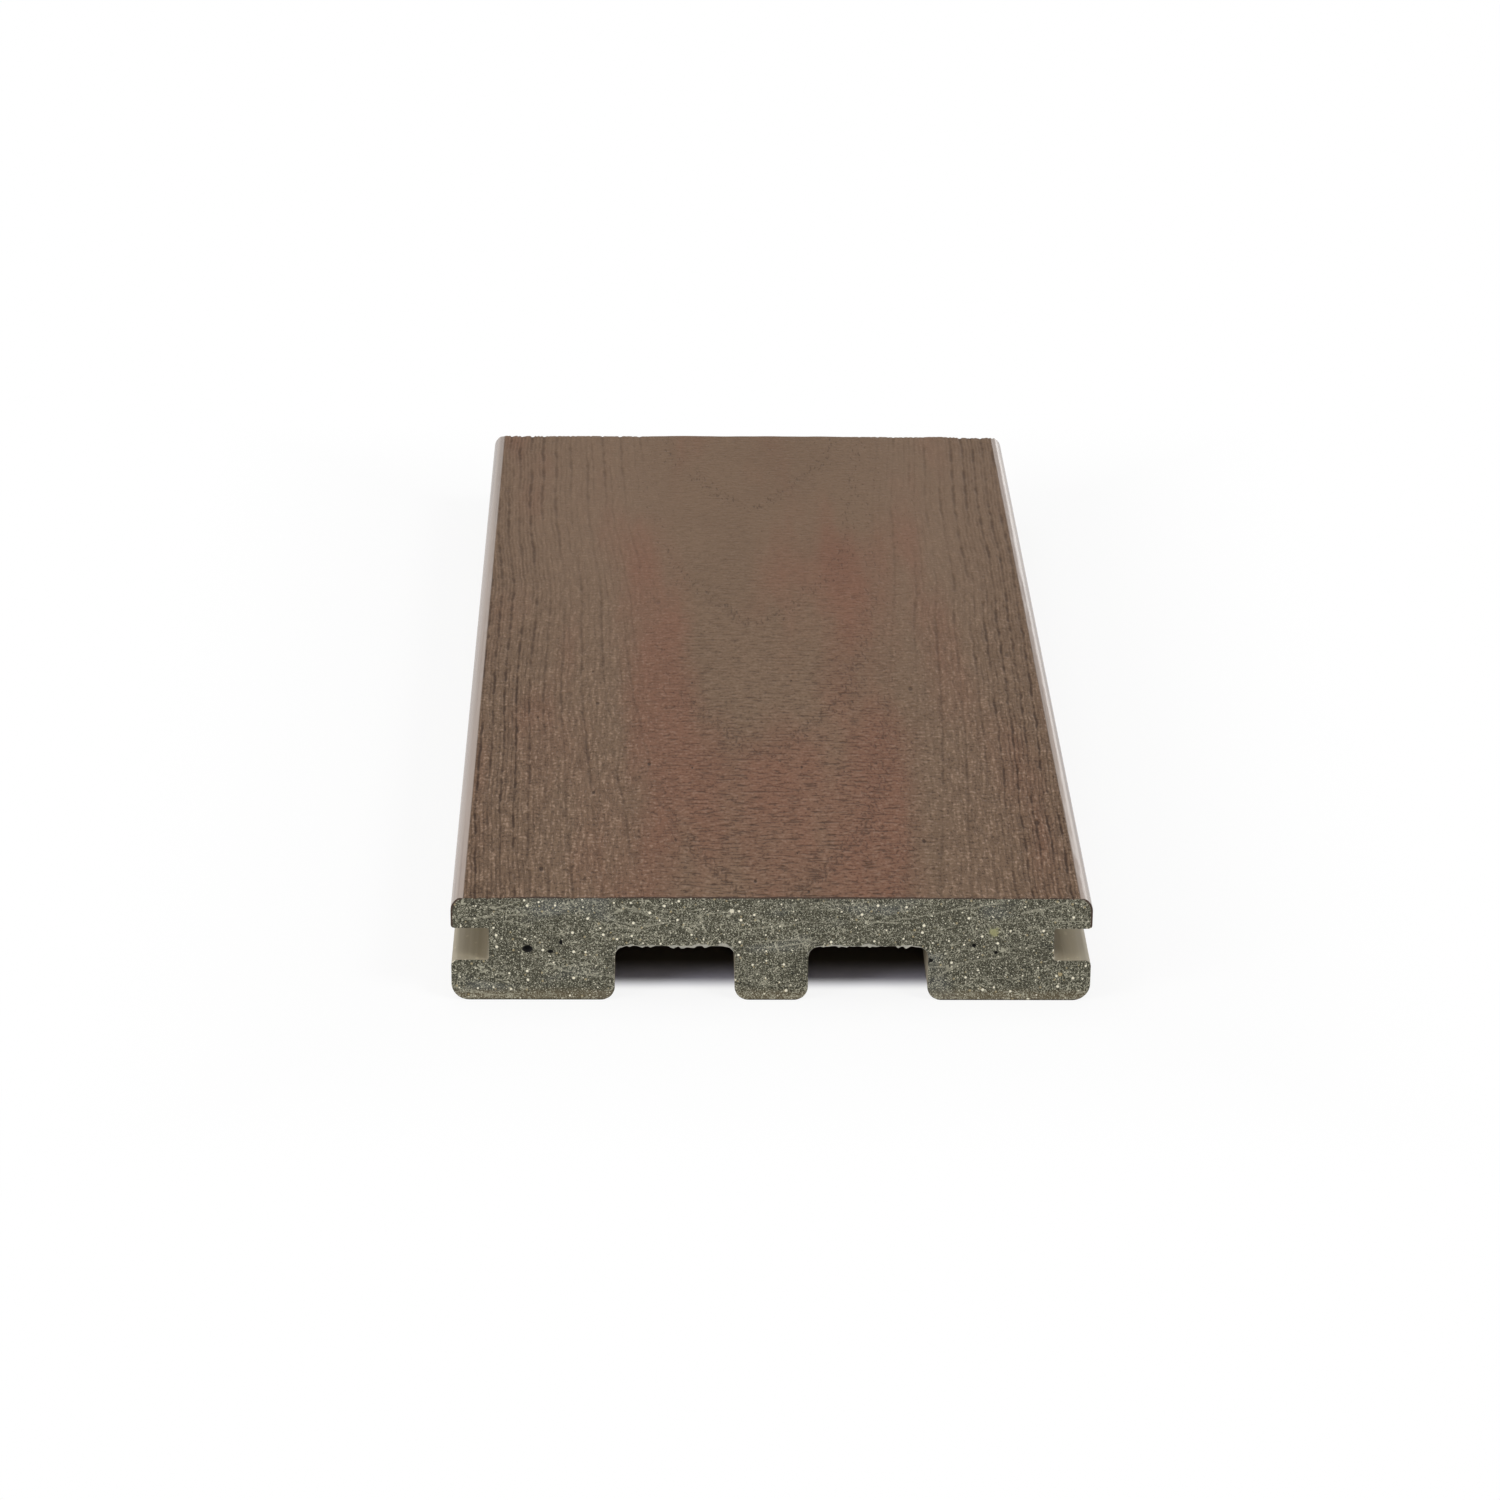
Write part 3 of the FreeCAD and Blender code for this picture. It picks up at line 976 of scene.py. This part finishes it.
def makeBoard():
    tree, keys = makeBoardTree()
    maker = bpy.data.objects.new("boardMaker", makeSawnFace())
    scene.collection.objects.link(maker)
    sweep = maker.modifiers.new("boardSweep", "NODES")
    sweep.node_group = tree
    given = {
        "Outline Points": len(outline),
        "Rows": board["rows"],
        "Length": length,
        "Emboss Depth": board["embossDepth"],
        "Burr": board["burr"],
        "Seed": float(board["seed"]),
    }
    for name, value in given.items():
        sweep[keys[name]] = value
    graph = bpy.context.evaluated_depsgraph_get()
    mesh = bpy.data.meshes.new_from_object(maker.evaluated_get(graph))
    maker.modifiers.remove(sweep)
    bpy.data.objects.remove(maker)
    mesh.name = board["name"]
    for name in ("reach", "finish"):
        if name in mesh.attributes:
            mesh.attributes.remove(mesh.attributes[name])
    shape = bmesh.new()
    shape.from_mesh(mesh)
    bmesh.ops.recalc_face_normals(shape, faces=shape.faces)
    openEdges = sum(len(e.link_faces) != 2 for e in shape.edges)
    volume = shape.calc_volume()
    shape.to_mesh(mesh)
    shape.free()
    mesh.polygons.foreach_set("use_smooth", [True] * len(mesh.polygons))
    mesh.set_sharp_from_angle(angle=math.radians(board["sharpAngle"]))
    mesh.calc_loop_triangles()
    print("board:", len(mesh.loop_triangles), "triangles,", openEdges, "open edges")
    print("board volume:", round(volume * 1e6, 1), "cm3")
    piece = bpy.data.objects.new(board["name"], mesh)
    scene.collection.objects.link(piece)
    return piece


piece = makeBoard()
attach(piece, "root")
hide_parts(section["node"])
print("board in place")

# Floor, lights and camera
studio = {
    "floorSize": 6.0,
    "floorColour": (0.88, 0.88, 0.88, 1),
    "white": (1, 1, 1, 1),
    "shades": [  # how far in under the board a shade starts and is full, and its colour
        (5 * mm, 8 * mm, (0.65, 0.65, 0.82, 1)),
        (11 * mm, 21 * mm, (0.1, 0.085, 0.07, 1)),
    ],
    "glowNear": 0.86,  # share of pure white beside the board, which leaves a faint shadow
    "glowFull": 90 * mm,  # and how far out it is all white
    "glowFrom": 4.5 * mm,  # under the board, where the white starts to fade
    "glowTo": 12 * mm,  # and is gone
    "worldLight": 0.34,
    "lamps": {  # place, size, watts
        "overhead": ((-0.3, 0.1, 1.6), 1.5, 9.15),
        "key": ((0.85, -0.75, 1.1), 0.5, 7.3),
        "fill": ((-0.9, -0.7, 0.5), 0.6, 5.0),
        "rim": ((0.9, 2.2, 0.3), 0.8, 2.6),
    },
}


def seenRays(bench):  # 1 for what the camera sees, also in a reflection or through glass
    path = bench.add("ShaderNodeLightPath", {}, {}, "Is Camera Ray")
    seen = path + path.beside("Is Glossy Ray") + path.beside("Is Transmission Ray")
    return bench.math("MINIMUM", seen, 1)


def makeFloor():
    mesh = bpy.data.meshes.new("floor")
    reach = studio["floorSize"] / 2
    corners = [(-reach, -reach, 0), (reach, -reach, 0), (reach, reach, 0), (-reach, reach, 0)]
    mesh.from_pydata(corners, [], [(0, 1, 2, 3)])
    floor = bpy.data.objects.new("floor", mesh)
    scene.collection.objects.link(floor)
    material, bench = shaderBench("studioFloor")
    across, along = boardPlace(bench)[:2]
    under = bench.math("MINIMUM", halfWidth - abs(across), halfLength - abs(along))
    outside = bench.step(under * -1, 0, studio["glowFull"])
    clear = 1 - bench.step(under, studio["glowFrom"], studio["glowTo"])
    clear = clear * bench.between(outside, studio["glowNear"], 1)
    colour = studio["floorColour"]
    for start, end, shade in studio["shades"]:
        colour = bench.mix(bench.step(under, start, end), colour, shade)
    plain = bench.add("ShaderNodeBsdfPrincipled", {}, {
        "Base Color": colour, "Roughness": 1, "Specular IOR Level": 0,
    })
    glow = bench.add("ShaderNodeEmission", {}, {"Color": studio["white"], "Strength": 1})
    mixed = bench.add("ShaderNodeMixShader", {}, {0: seenRays(bench) * clear, 1: plain, 2: glow})
    bench.add("ShaderNodeOutputMaterial", {}, {"Surface": mixed})
    mesh.materials.append(material)


def makeWorld():
    world = bpy.data.worlds.new("studioWorld")
    world.use_nodes = True
    world.node_tree.nodes.clear()
    bench = Bench(world.node_tree)

    def backdrop(strength):
        return bench.add("ShaderNodeBackground", {}, {"Color": studio["white"], "Strength": strength})

    soft = backdrop(studio["worldLight"])
    mixed = bench.add("ShaderNodeMixShader", {}, {0: seenRays(bench), 1: soft, 2: backdrop(1)})
    bench.add("ShaderNodeOutputWorld", {}, {"Surface": mixed})
    scene.world = world


def makeLamps():
    for name, (place, size, watts) in studio["lamps"].items():
        lamp = bpy.data.lights.new(name, "AREA")
        lamp.shape = "DISK"
        lamp.size = size
        lamp.energy = watts
        holder = bpy.data.objects.new(name, lamp)
        holder.location = place
        holder.rotation_euler = (-Vector(place)).to_track_quat("-Z", "Y").to_euler()
        scene.collection.objects.link(holder)


view = {
    "place": (-25.1 * mm, -1102.6 * mm, 445.8 * mm),
    "pitch": 22.224,  # degrees below level
    "yaw": -1.21,
    "roll": 0.588,
    "lens": 118.03,
    "sensor": 36.0,
}


def makeCamera():
    pitch, yaw, roll = (math.radians(view[name]) for name in ("pitch", "yaw", "roll"))
    ahead = Vector((-math.sin(yaw) * math.cos(pitch), math.cos(yaw) * math.cos(pitch), -math.sin(pitch)))
    right = Vector((math.cos(yaw), math.sin(yaw), 0))
    over = right.cross(ahead)
    sideways = right * math.cos(roll) + over * math.sin(roll)
    upward = over * math.cos(roll) - right * math.sin(roll)
    lens = bpy.data.cameras.new("camera")
    lens.sensor_width = view["sensor"]
    lens.lens = view["lens"]
    camera = bpy.data.objects.new("camera", lens)
    turn = Matrix((sideways, upward, -ahead)).transposed()
    camera.matrix_world = Matrix.Translation(view["place"]) @ turn.to_4x4()
    scene.collection.objects.link(camera)
    scene.camera = camera


makeFloor()
makeWorld()
makeLamps()
makeCamera()
scene.view_settings.view_transform = "Standard"
print("floor, lights and camera set")
